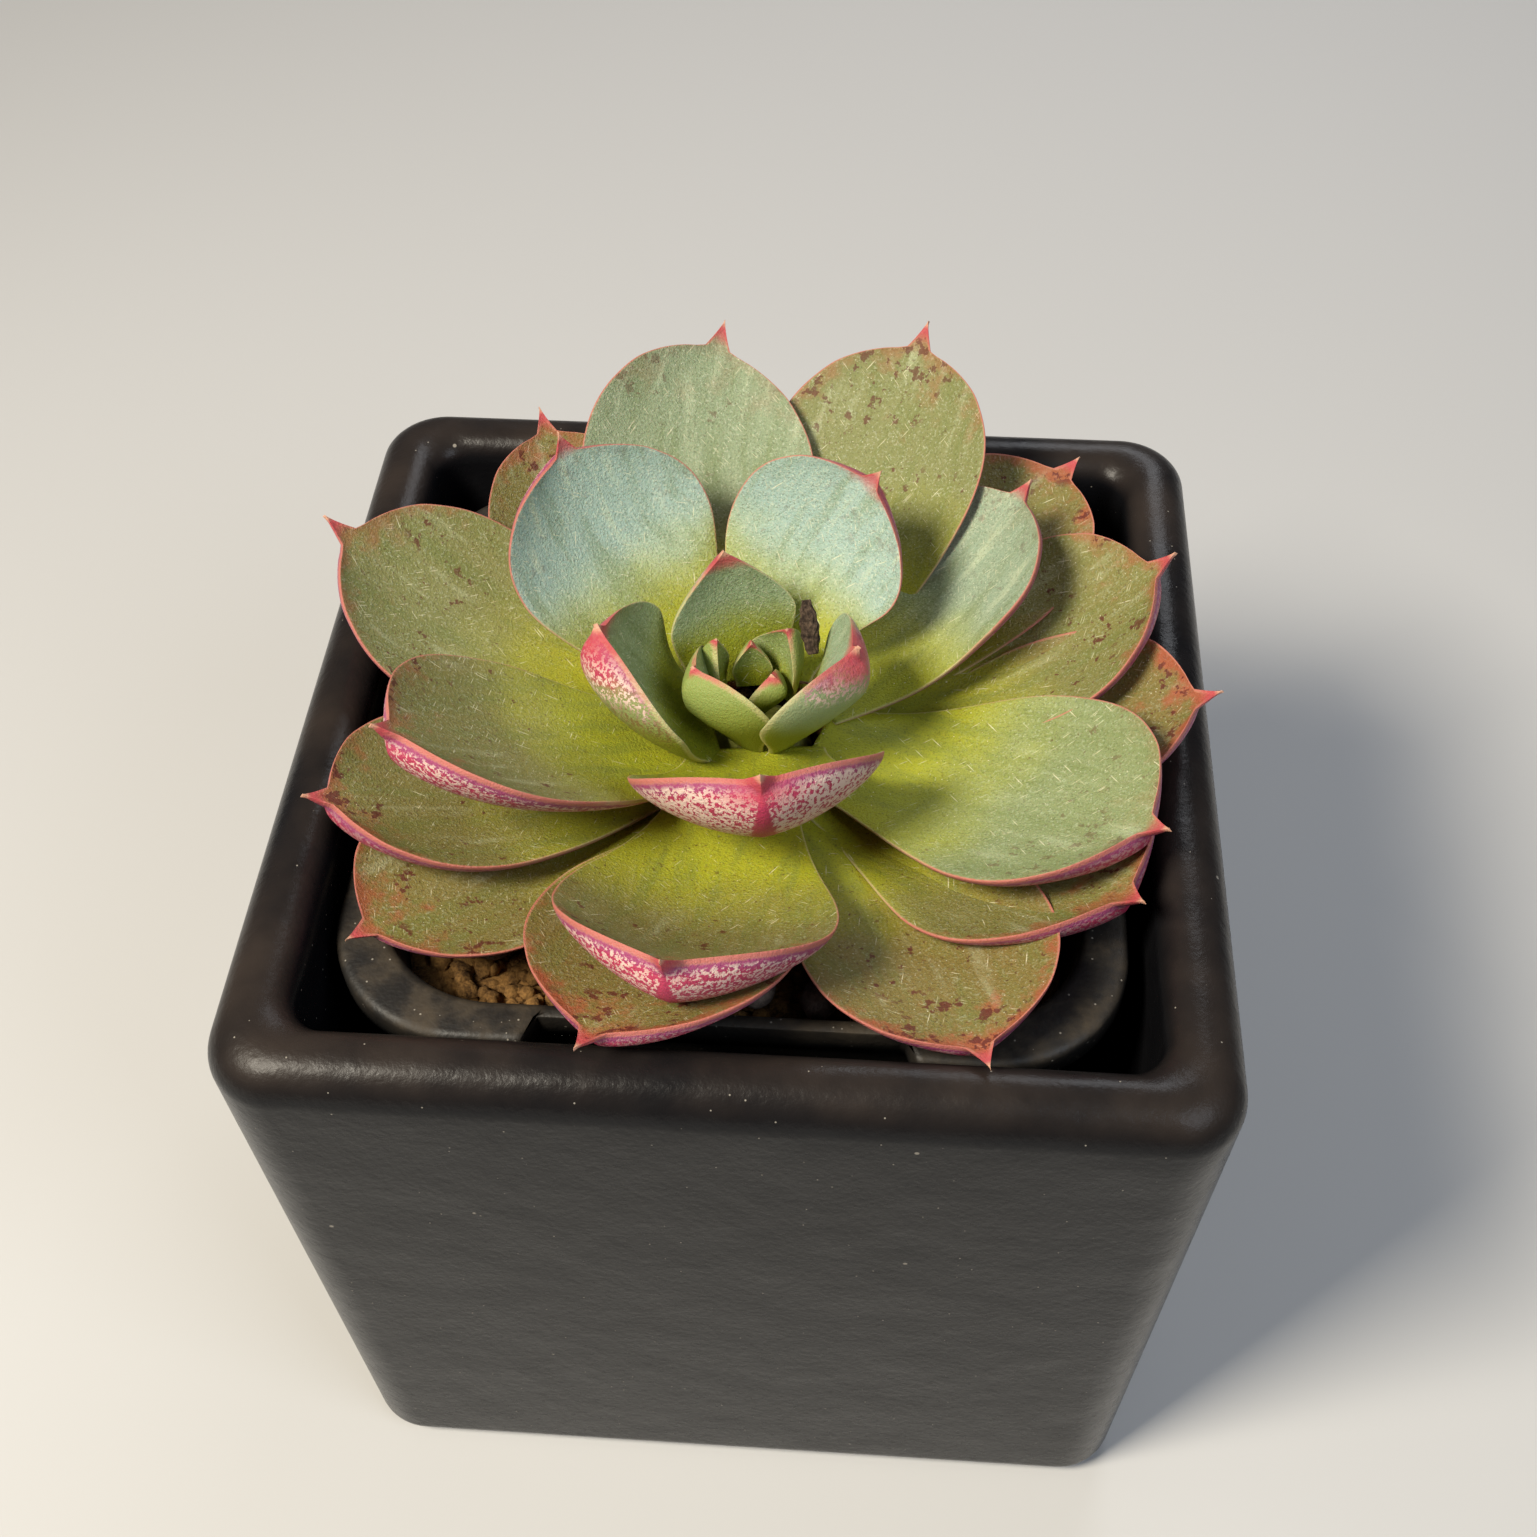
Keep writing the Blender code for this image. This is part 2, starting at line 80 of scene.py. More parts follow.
def make_camera():
    """The camera stands on a sphere round its aim and is rolled a little about its own axis."""
    azimuth = math.radians(CAMERA_AZIMUTH)
    elevation = math.radians(CAMERA_ELEVATION)
    away = np.array([math.sin(azimuth) * math.cos(elevation),
                     -math.cos(azimuth) * math.cos(elevation), math.sin(elevation)])
    right = np.array([math.cos(azimuth), math.sin(azimuth), 0.0])
    top = np.cross(away, right)
    roll = math.radians(CAMERA_ROLL)
    placed = np.eye(4)
    placed[:3, 0] = math.cos(roll) * right + math.sin(roll) * top
    placed[:3, 1] = math.cos(roll) * top - math.sin(roll) * right
    placed[:3, 2] = away
    placed[:3, 3] = (np.array(CAMERA_AIM) + CAMERA_DISTANCE * away) * MM
    lens = bpy.data.cameras.new("camera")
    lens.lens = CAMERA_LENS
    lens.sensor_width = 36.0
    lens.clip_start = 0.005
    camera = bpy.data.objects.new("camera", lens)
    camera.matrix_world = placed.T.tolist()
    bpy.context.scene.collection.objects.link(camera)
    bpy.context.scene.camera = camera


def make_lamps():
    """Square lamps that all face the rosette, and a dim even room."""
    for name, place, width, power, colour in LAMPS:
        lamp = bpy.data.lights.new(name, 'AREA')
        lamp.size = width * MM
        lamp.energy = power
        lamp.color = colour
        holder = bpy.data.objects.new(name, lamp)
        holder.location = [value * MM for value in place]
        aim = np.array([0, 0, 70]) - np.array(place)
        holder.rotation_euler = (math.atan2(math.hypot(aim[0], aim[1]), -aim[2]), 0,
                                 math.atan2(-aim[0], aim[1]))
        bpy.context.scene.collection.objects.link(holder)
    room = bpy.data.worlds.new("room")
    room.use_nodes = True
    sky = room.node_tree.nodes["Background"]
    sky.inputs["Color"].default_value = (0.75, 0.80, 0.90, 1)
    sky.inputs["Strength"].default_value = 0.11
    bpy.context.scene.world = room
    bpy.context.scene.view_settings.view_transform = 'Standard'


make_floor()
make_camera()
make_lamps()

# ---------------------------------------------------------------- glazed outer pot
# A slip-cast square pot with slightly tapering sides and a thick round rim, under a satin
# charcoal glaze with a little dust on it and painted warm light on its tops. One shell: foot, sides, rim,
# cavity and floor.

GLAZE_COLOUR = (0.005, 0.005, 0.006)
# Colour of faces that look up: partly dust, partly painted warm light from above
GLAZE_TOP_DUST_AND_LIGHT = (0.034, 0.025, 0.020)
DUST_COLOUR = (0.42, 0.38, 0.32)
POT_CORNER = 6.5
POT_INNER_CORNER = 3.5
POT_FOOT_INSET = 2.0
POT_WALL = 7.0
POT_FLOOR = 6.0
RIM_OUTER_ROUND = 4.0
RIM_INNER_ROUND = 3.0
FOOT_ROUND = 3.0


class Shade:
    """A value inside a material. Arithmetic on it, with numbers or other values, adds Math nodes."""

    def __init__(self, tree, socket=None):
        self.tree = tree
        self.socket = socket

    def make(self, kind, settings=None, values=None, output=0):
        """Adds a node: its settings first, then a number, colour or other value for each socket."""
        node = self.tree.nodes.new(kind)
        for name, setting in (settings or {}).items():
            setattr(node, name, setting)
        for name, value in (values or {}).items():
            self.feed(node.inputs[name], value)
        return Shade(self.tree, node.outputs[output])

    def feed(self, socket, value):
        """Links a value to a socket, or sets a plain number or colour on it."""
        if isinstance(value, Shade):
            self.tree.links.new(value.socket, socket)
        elif isinstance(value, tuple) and socket.type == 'RGBA':
            socket.default_value = (*value, 1)
        else:
            socket.default_value = value

    def math(self, operation, *values):
        """One Math node on the given values."""
        return self.make("ShaderNodeMath", {"operation": operation}, dict(enumerate(values)))

    def __add__(self, other):
        return self.math('ADD', self, other)

    def __sub__(self, other):
        return self.math('SUBTRACT', self, other)

    def __rsub__(self, other):
        return self.math('SUBTRACT', other, self)

    def __mul__(self, other):
        return self.math('MULTIPLY', self, other)

    def __truediv__(self, other):
        return self.math('DIVIDE', self, other)

    __radd__ = __add__
    __rmul__ = __mul__

    def step(self, low, high):
        """Rises smoothly from 0 to 1 as the value goes from low to high; falls if low is above high."""
        ends = {"Value": self, "From Min": min(low, high), "From Max": max(low, high),
                "To Min": 0.0 if low < high else 1.0, "To Max": 1.0 if low < high else 0.0}
        return self.make("ShaderNodeMapRange", {"interpolation_type": 'SMOOTHSTEP'}, ends)

    def mix(self, start, end):
        """A colour between two colours, with this value as the share of the second."""
        return self.make("ShaderNodeMix", {"data_type": 'RGBA'}, {0: self, 6: start, 7: end}, output=2)

    def place(self):
        """The point on the piece, in metres."""
        return self.make("ShaderNodeTexCoord", output=3)

    def capped(self):
        """The value, but never above 1."""
        return self.math('MINIMUM', self, 1.0)

    def facing_up(self):
        """The upward part of the way the surface faces: 1 on level tops, 0 on upright sides."""
        outward = self.make("ShaderNodeNewGeometry", output=1)
        return self.make("ShaderNodeSeparateXYZ", {}, {0: outward}, output=2)

    def noise(self, grain, detail=3.0, rough=0.5, at=None, in_millimetres=False):
        """Cloudy noise from 0 to 1 whose patches are about grain millimetres across."""
        scale = 1 / grain if in_millimetres else 1 / (grain * MM)
        return self.make("ShaderNodeTexNoise", {}, {"Vector": at or self.place(), "Scale": scale,
                                                    "Detail": detail, "Roughness": rough})

    def flecks(self, spacing, size, share):
        """Sparse round spots: 1 inside them. Spacing and size in millimetres, share of cells used."""
        cells = self.make("ShaderNodeTexVoronoi", {}, {"Vector": self.place(), "Scale": 1 / (spacing * MM)})
        pick = self.make("ShaderNodeSeparateColor", {}, {0: Shade(self.tree, cells.socket.node.outputs[1])})
        return cells.step(size / spacing, size / spacing * 0.6) * pick.step(1 - share, 1.001 - share)

    def fibres(self, flat, lean, size, share):
        """Short thin lines that lean by an angle in radians, on a flat layout in millimetres: 1 on them."""
        apart = self.make("ShaderNodeSeparateXYZ", {}, {0: flat})
        x, y, layer = (Shade(self.tree, apart.socket.node.outputs[axis]) for axis in range(3))
        place = self.make("ShaderNodeCombineXYZ", {}, {
            0: (x * math.cos(lean) + y * math.sin(lean)) / size,
            1: (y * math.cos(lean) - x * math.sin(lean)) / (0.07 * size), 2: layer})
        cells = self.make("ShaderNodeTexVoronoi", {}, {"Vector": place, "Scale": 1.0})
        pick = self.make("ShaderNodeSeparateColor", {}, {0: Shade(self.tree, cells.socket.node.outputs[1])})
        return cells.step(0.40, 0.18) * pick.step(1 - share, 1.01 - share)

    def attribute(self, name):
        """A number that the mesh carries at each point."""
        return self.make("ShaderNodeAttribute", {"attribute_name": name}, output=2)

    def bump(self, height, depth):
        """A surface normal for a height from 0 to 1 that stands for depth millimetres."""
        return self.make("ShaderNodeBump", {}, {"Strength": 1.0, "Distance": depth * MM, "Height": height})


def new_material(name, **constants):
    """A material, its first Shade and its shader, with constants set on the shader's sockets."""
    material = bpy.data.materials.new(name)
    material.use_nodes = True
    shader = material.node_tree.nodes["Principled BSDF"]
    for socket, value in constants.items():
        shader.inputs[socket.replace("_", " ")].default_value = value
    return material, Shade(material.node_tree), shader


def skin(name, points, material):
    """Joins rings of points (rings, points in a ring, 3), in millimetres, into one closed mesh.

    Point j of ring i is joined to point j + 1 and to ring i + 1, counted round the ring.
    The first and the last ring are closed by a fan to their own middle.
    """
    rings, count = points.shape[:2]
    here = np.arange(rings * count).reshape(rings, count)
    after = np.roll(here, -1, axis=1)
    quads = np.stack([here[:-1], after[:-1], after[1:], here[1:]], axis=-1).reshape(-1, 4)
    first, last = rings * count, rings * count + 1
    faces = quads.tolist()
    faces += np.stack([after[0], here[0], np.full(count, first)], axis=-1).tolist()
    faces += np.stack([here[-1], after[-1], np.full(count, last)], axis=-1).tolist()
    vertices = np.vstack([points.reshape(-1, 3), points[0].mean(axis=0), points[-1].mean(axis=0)])
    mesh = bpy.data.meshes.new(name)
    mesh.from_pydata((vertices * MM).tolist(), [], faces)
    mesh.shade_smooth()
    mesh.materials.append(material)
    piece = bpy.data.objects.new(name, mesh)
    bpy.context.scene.collection.objects.link(piece)
    return piece


def square_rings(half, corner, height, centre=(0.0, 0.0), arc_steps=16, side_steps=24):
    """Rings round a square with round corners, as an array (rings, points in a ring, 3).

    One quarter is an arc about a point half - corner away from both axes and the straight
    run after it; the other three are that quarter turned by 90 degrees at a time.
    """
    half, corner, height = (np.asarray(value, float)[:, None] for value in (half, corner, height))
    turn = np.radians(np.linspace(0, 90, arc_steps + 1))
    run = 1 - 2 * np.linspace(0, 1, side_steps + 1)[1:-1]
    x = np.hstack([half - corner + corner * np.cos(turn), (half - corner) * run])
    y = np.hstack([half - corner + corner * np.sin(turn), half + 0 * run])
    quarters = [(x, y), (-y, x), (-x, -y), (y, -x)]
    flat = np.concatenate([np.stack(pair, axis=-1) for pair in quarters], axis=1) + np.array(centre)
    lift = np.broadcast_to(height[..., None], flat.shape[:2] + (1,))
    return np.concatenate([flat, lift], axis=-1)


def glaze_material():
    """Satin glaze: brownish on faces that look up, from dust and painted warm light, faintly wavy, with
    specks of white dust.
    """
    material, shade, shader = new_material("charcoal_glaze", Metallic=0.0, Specular_IOR_Level=0.17)
    facing = shade.facing_up()
    cloud = shade.noise(14, 4)
    # Dust plus painted light: patchy, lighter and warmer on faces that look up, as if lit from above
    film = facing.step(0.2, 0.95) * cloud.step(0.25, 0.75)
    specks = shade.flecks(1.3, 0.10, 0.35) + shade.flecks(4.5, 0.26, 0.3)
    tone = shade.noise(5, 5).step(0.3, 0.7) * 0.35
    colour = tone.mix(GLAZE_COLOUR, (0.009, 0.009, 0.010))
    colour = (film * 0.85).mix(colour, GLAZE_TOP_DUST_AND_LIGHT)
    colour = (specks.capped() * 0.55).mix(colour, DUST_COLOUR)
    shade.feed(shader.inputs["Base Color"], colour)
    roughness = 0.18 + film * 0.12 + shade.noise(1.2, 5, 0.6) * 0.16 + specks * 0.3
    shade.feed(shader.inputs["Roughness"], roughness)
    wave = shade.noise(9, 2) * 0.8 + shade.noise(0.8, 4, 0.6) * 0.2
    shade.feed(shader.inputs["Normal"], shade.bump(wave, 0.30))
    return material


def make_cachepot():
    """Rings from the foot up the outside, over the rim and down into the cavity.

    Outer rim: half = width / 2 - round (1 - cos a), height = top - round (1 - sin a), for a from 0 to
    90 degrees.
    """
    low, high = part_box("cachepot")
    top_half = (high[0] - low[0]) / MM / 2
    top = high[2] / MM
    foot_half = top_half - POT_FOOT_INSET
    bend = np.radians(np.linspace(0, 90, 13))
    inset = FOOT_ROUND * (1 - np.sin(bend))
    side = np.linspace(0.04, 0.96, 16)
    rim_inset = RIM_OUTER_ROUND * (1 - np.cos(bend))
    inner_inset = RIM_OUTER_ROUND + RIM_INNER_ROUND * np.sin(bend[1:])
    wall = np.linspace(0.05, 1, 12)
    inner_foot = foot_half - POT_WALL
    half = np.concatenate([[foot_half * 0.5], foot_half - inset, foot_half + POT_FOOT_INSET * side,
                           top_half - rim_inset, top_half - inner_inset,
                           top_half - POT_WALL - (top_half - foot_half) * wall,
                           inner_foot - FOOT_ROUND * (1 - np.cos(bend[1:])), [inner_foot * 0.5]])
    height = np.concatenate([[0.0], FOOT_ROUND * (1 - np.cos(bend)),
                             FOOT_ROUND + (top - RIM_OUTER_ROUND - FOOT_ROUND) * side,
                             top - RIM_OUTER_ROUND * (1 - np.sin(bend)),
                             top - RIM_INNER_ROUND * (1 - np.cos(bend[1:])),
                             top - RIM_INNER_ROUND - (top - RIM_INNER_ROUND - POT_FLOOR - FOOT_ROUND) * wall,
                             POT_FLOOR + FOOT_ROUND * (1 - np.sin(bend[1:])), [POT_FLOOR]])
    corner = np.concatenate([[POT_CORNER * 0.4], POT_CORNER - inset, np.full(len(side), POT_CORNER),
                             POT_CORNER - 0.6 * rim_inset,
                             np.full(len(inner_inset) + len(wall) + len(bend), POT_INNER_CORNER)])
    points = square_rings(half, corner, height)
    pot = skin("cachepot_glazed", points, glaze_material())
    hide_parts("cachepot")
    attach(pot, "root")


make_cachepot()

# ---------------------------------------------------------------- nursery pot
# A thin moulded pot of black plastic that drops into the glazed one. Its flange turns down at
# the edge and is cut back to the wall in the middle of each side, where fingers lift it out.

PLASTIC_COLOUR = (0.011, 0.010, 0.009)
PLASTIC_DUSTY = (0.048, 0.035, 0.021)
NURSERY_FLANGE = 4.2
NURSERY_LIP_DEPTH = 3.0
NURSERY_WALL = 1.2
NURSERY_ROUND = 0.8
NURSERY_CORNER = 13.0
NURSERY_FOOT_HALF = 25.0
NURSERY_FOOT_CORNER = 9.0
NOTCH_WIDTH = 34.0


def plastic_material():
    """Matt black plastic with a film of dried mud, thicker on faces that look up, and pale specks of dust."""
    material, shade, shader = new_material("black_plastic", Metallic=0.0, Specular_IOR_Level=0.4)
    facing = shade.facing_up()
    film = shade.noise(4, 6, 0.6).step(0.35, 0.75) * (0.35 + 0.65 * facing.step(0.0, 0.9))
    specks = shade.flecks(0.8, 0.12, 0.3)
    colour = film.mix(PLASTIC_COLOUR, PLASTIC_DUSTY)
    shade.feed(shader.inputs["Base Color"], (specks * 0.5).mix(colour, DUST_COLOUR))
    shade.feed(shader.inputs["Roughness"], 0.48 + film * 0.3)
    shade.feed(shader.inputs["Normal"], shade.bump(shade.noise(0.5, 4), 0.06))
    return material


def make_nursery_pot():
    """Rings up the outside, round the flange and down the inside. The flange is drawn in at the notches."""
    low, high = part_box("nursery_pot")
    outer = (high[0] - low[0]) / MM / 2
    middle = [(high[axis] + low[axis]) / MM / 2 for axis in (0, 1)]
    top, foot = high[2] / MM, low[2] / MM
    mouth = outer - NURSERY_FLANGE
    under = top - NURSERY_WALL
    bend = np.radians(np.linspace(0, 90, 7))
    lip = top - NURSERY_LIP_DEPTH
    wall = np.linspace(0, 1, 10)
    foot_inner = NURSERY_FOOT_HALF - NURSERY_WALL
    half = np.concatenate([[NURSERY_FOOT_HALF * 0.5],
                           NURSERY_FOOT_HALF + (mouth + NURSERY_ROUND - NURSERY_FOOT_HALF) * wall,
                           [outer - NURSERY_WALL - 0.3, outer - NURSERY_WALL, outer - NURSERY_WALL, outer],
                           outer - NURSERY_ROUND * (1 - np.cos(bend)),
                           mouth + NURSERY_ROUND * (1 - np.sin(bend)),
                           mouth + (foot_inner - mouth) * wall[1:],
                           [foot_inner * 0.5]])
    height = np.concatenate([[foot], foot + (under - foot) * wall, [under, under - 0.3, lip, lip],
                             top - NURSERY_ROUND * (1 - np.sin(bend)),
                             top - NURSERY_ROUND * (1 - np.cos(bend)),
                             top - NURSERY_ROUND + (foot + NURSERY_WALL - top + NURSERY_ROUND) * wall[1:],
                             [foot + NURSERY_WALL]])
    share = np.clip((half - NURSERY_FOOT_HALF) / (outer - NURSERY_FOOT_HALF), -1, 1)
    corner = NURSERY_FOOT_CORNER + (NURSERY_CORNER - NURSERY_FOOT_CORNER) * share
    points = square_rings(half, corner, height, arc_steps=20, side_steps=80)
    across = np.minimum(abs(points[..., 0]), abs(points[..., 1]))
    reach = np.maximum(abs(points[..., 0]), abs(points[..., 1]))
    notch = 1 - np.clip((across - NOTCH_WIDTH / 2 + 0.3) / 0.6, 0, 1)
    kept = mouth + NURSERY_WALL
    pulled = np.where((reach > kept) & (height[:, None] > lip - 0.1), notch, 0.0)
    scale = 1 - pulled * (reach - kept - 0.15 * (reach - kept)) / reach
    on_x = abs(points[..., 0]) > abs(points[..., 1])
    points[..., 0] *= np.where(on_x, scale, 1)
    points[..., 1] *= np.where(on_x, 1, scale)
    points[..., :2] += middle
    pot = skin("nursery_pot_moulded", points, plastic_material())
    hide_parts("nursery_pot")
    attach(pot, "root")


make_nursery_pot()

# ---------------------------------------------------------------- soil, grit and pebbles
# Porous golden-brown growing grit, about 2 mm a grain, heaped a little below the nursery pot's
# flange, with a few larger grey-brown stones on it.

GRIT_DARK = (0.035, 0.016, 0.006)
GRIT_LIGHT = (0.34, 0.18, 0.055)
GRIT_SIZE = 2.1
GRIT_SPACING = 1.6


def grit_material(name, dark, light):
    """Rough stone whose colour changes from grain to grain and in fine pores."""
    material, shade, shader = new_material(name, Metallic=0.0, Roughness=0.95, Specular_IOR_Level=0.2)
    grain = shade.noise(2.6, 1)
    pores = shade.noise(0.35, 4, 0.7)
    colour = (grain.step(0.3, 0.7) * 0.6 + pores.step(0.35, 0.65) * 0.4).mix(dark, light)
    shade.feed(shader.inputs["Base Color"], colour)
    shade.feed(shader.inputs["Normal"], shade.bump(pores, 0.25))
    return material


def lumps(name, centres, sizes, material, seed):
    """Many irregular grains in one mesh.

    Each is the same ball of 5 rings by 8 points, stretched along its own axes, dented by a
    random factor at each point and turned at random.
    """
    random = np.random.default_rng(seed)
    rings, around = 5, 8
    polar = np.linspace(0, math.pi, rings + 2)[1:-1]
    turn = np.linspace(0, 2 * math.pi, around, endpoint=False)
    ball = np.stack([np.outer(np.sin(polar), np.cos(turn)), np.outer(np.sin(polar), np.sin(turn)),
                     np.outer(np.cos(polar), np.ones(around))], axis=-1).reshape(-1, 3)
    ball = np.vstack([ball, [0, 0, 1], [0, 0, -1]])
    here = np.arange(rings * around).reshape(rings, around)
    after = np.roll(here, -1, axis=1)
    quads = np.stack([here[:-1], here[1:], after[1:], after[:-1]], axis=-1).reshape(-1, 4)
    top = np.stack([here[0], after[0], np.full(around, rings * around)], axis=-1)
    bottom = np.stack([after[-1], here[-1], np.full(around, rings * around + 1)], axis=-1)
    count, size = len(centres), len(ball)
    stretch = random.uniform(0.7, 1.15, (count, 1, 3))
    dents = random.uniform(0.78, 1.12, (count, size, 1))
    shapes = ball[None] * stretch * dents * np.asarray(sizes)[:, None, None] / 2
    spin = random.normal(size=(count, 3, 3))
    turned, _ = np.linalg.qr(spin)
    turned[np.linalg.det(turned) < 0, :, 0] *= -1
    points = (shapes @ turned + np.asarray(centres)[:, None, :]).reshape(-1, 3)
    shift = (np.arange(count) * size)[:, None, None]
    faces = (quads[None] + shift).reshape(-1, 4).tolist()
    faces += (np.vstack([top, bottom])[None] + shift).reshape(-1, 3).tolist()
    mesh = bpy.data.meshes.new(name)
    mesh.from_pydata((points * MM).tolist(), [], faces)
    mesh.shade_smooth()
    mesh.materials.append(material)
    piece = bpy.data.objects.new(name, mesh)
    bpy.context.scene.collection.objects.link(piece)
    return piece


def make_soil():
    """A bumpy filling under the grains and two layers of loose grains on it."""
    low, high = (np.array(corner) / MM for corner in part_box("soil"))
    middle = (low + high) / 2
    half = (high[0] - low[0]) / 2
    grit = grit_material("golden_grit", GRIT_DARK, GRIT_LIGHT)
    share = np.linspace(1, 0.02, 30)
    rim_corner = NURSERY_CORNER * 0.75
    rings = square_rings(np.concatenate([[NURSERY_FOOT_HALF - NURSERY_WALL - 0.5], half * share]),
                         np.concatenate([[NURSERY_FOOT_CORNER], rim_corner + (half - rim_corner) * (1 - share)
                                         * share]),
                         np.concatenate([[low[2]], np.full(30, high[2] - 0.9)]), middle[:2], 8, 16)
    rings[1:, :, 2] += 0.5 * np.sin(rings[1:, :, 0] * 2.1) * np.sin(rings[1:, :, 1] * 2.4)
    filling = skin("soil_filling", rings, grit)
    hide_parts("soil")
    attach(filling, "root")

    random = np.random.default_rng(11)
    steps = np.arange(-half, half, GRIT_SPACING)
    grid = np.array(np.meshgrid(steps, steps)).reshape(2, -1).T
    grid = np.vstack([grid, grid + GRIT_SPACING / 2])
    grid = grid + random.uniform(-0.8, 0.8, grid.shape)
    away = np.abs(grid)
    inner = half - 1.4
    past = np.clip(away - (inner - rim_corner), 0, None)
    inside = (past[:, 0] ** 2 + past[:, 1] ** 2 < rim_corner ** 2) & (np.hypot(*grid.T) > 7)
    grid = grid[inside]
    sizes = GRIT_SIZE * random.uniform(0.55, 1.15, len(grid))
    height = high[2] - 0.6 + random.uniform(-0.5, 0.9, len(grid))
    centres = np.column_stack([grid + middle[:2], height])
    loose = lumps("grit", centres, sizes, grit, 12)
    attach(loose, "root")


def make_pebbles():
    """Six stones, each in the box of its own CAD solid."""
    stone = grit_material("grey_pebble", (0.10, 0.075, 0.062), (0.34, 0.27, 0.22))
    for number in range(1, 7):
        low, high = (np.array(corner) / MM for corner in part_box(f"pebble_{number}"))
        polar = np.linspace(0.12, math.pi - 0.12, 14)[:, None]
        turn = np.linspace(0, 2 * math.pi, 20, endpoint=False)[None, :]
        unit = np.stack([np.sin(polar) * np.cos(turn), np.sin(polar) * np.sin(turn),
                         -np.cos(polar) + 0 * turn], axis=-1)
        bumps = 1 - 0.10 * (1 + np.sin(3 * unit[..., 0] * 2 + number) * np.cos(4 * unit[..., 1] + 2 * number)
                            * np.sin(3 * unit[..., 2] + number))
        points = (low + high) / 2 + unit * bumps[..., None] * (high - low) / 2
        pebble = skin(f"stone_{number}", points, stone)
        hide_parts(f"pebble_{number}")
        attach(pebble, "root")


make_soil()
make_pebbles()

# ---------------------------------------------------------------- stem
# The short thick stem, rooted in the grit, from which all leaves grow. Only slits of it show,
# so its bark is yellowish green like the leaf bases round it.


def make_stem():
    """A dome on a cylinder: radius = full radius cos a, height = shoulder + rise sin a."""
    low, high = (np.array(corner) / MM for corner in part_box("stem"))
    middle = (low + high) / 2
    radius = (high[0] - low[0]) / 2
    material, shade, shader = new_material("green_stem", Metallic=0.0, Roughness=0.85)
    bark = shade.noise(1.2, 5, 0.6)
    colour = bark.step(0.3, 0.7).mix((0.12, 0.11, 0.02), (0.30, 0.31, 0.05))
    shade.feed(shader.inputs["Base Color"], colour)
    shade.feed(shader.inputs["Normal"], shade.bump(bark, 0.2))
    bend = np.radians(np.linspace(0, 84, 10))
    shoulder = low[2] + (high[2] - low[2]) * 0.65
    reach = np.concatenate([[0.4, 0.75, 1.0, 1.0], np.cos(bend)]) * radius
    height = np.concatenate([[low[2], low[2], low[2] + 3, shoulder - 3],
                             shoulder + (high[2] - shoulder) * np.sin(bend)])
    turn = np.linspace(0, 2 * math.pi, 48, endpoint=False)
    knots = 1 - 0.04 * (1 + np.sin(turn * 5)[None, :] * np.cos(height * 1.3)[:, None])
    points = np.stack([middle[0] + reach[:, None] * knots * np.cos(turn),
                       middle[1] + reach[:, None] * knots * np.sin(turn),
                       height[:, None] + 0 * turn], axis=-1)
    stem = skin("stem_bark", points, material)
    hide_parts("stem")
    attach(stem, "root")


make_stem()

# ---------------------------------------------------------------- leaves
# Fleshy spoon-shaped leaves in a spiral, each ending in a short point. The skin is green with a
# pale waxy bloom, a pink margin, and a magenta underside where wax has flaked into mottling.

ROSETTE_Y = 1.0
DOME_RADIUS = 7.6
DOME_BASE = 77.0
DOME_HEIGHT = 5.5
LEAF_THICKNESS = 3.4
NECK = 0.42
WIDEST_AT = 0.60
SHOULDER_AT = 0.93
TIP_FROM = 0.86
TIP_WIDTH = 0.28
ARCH_NECK = 0.8
ARCH_WIDEST = 0.45
STATIONS = 90
SIDES = 72
LEAF_GREEN = (0.22, 0.27, 0.065)
LEAF_WAXY = (0.32, 0.43, 0.37)
LEAF_OLIVE = (0.195, 0.145, 0.038)
LIME_YOUNG = (0.25, 0.27, 0.014)
LIME_OPEN = (0.33, 0.335, 0.016)
# Painted sheen: the purple band along the margin of the underside
CRIMSON = (0.43, 0.040, 0.095)
MARGIN_SHEEN_PURPLE = (0.33, 0.060, 0.15)
WAX_BELOW = (0.74, 0.56, 0.48)
# Leaf numbers: the first with a red underside, the first that lies open, the heart's leaf that reddens
# lowest, and the one whose keel stands up in front with the most wax beside it
FIRST_RED_BELOW = 6
FIRST_OPEN = 9
LOW_RED_HEART_LEAF = 8
SHOWN_KEEL = 9
MOTTLE_MORE = (0.45, 0.49)
MOTTLE_EVEN = (0.49, 0.53)
LOW_REDDENING = (0.68, 0.80)
HIGH_REDDENING = (0.80, 0.88)
POINT_SMALL = 0.9
POINT_FULL = 2.6
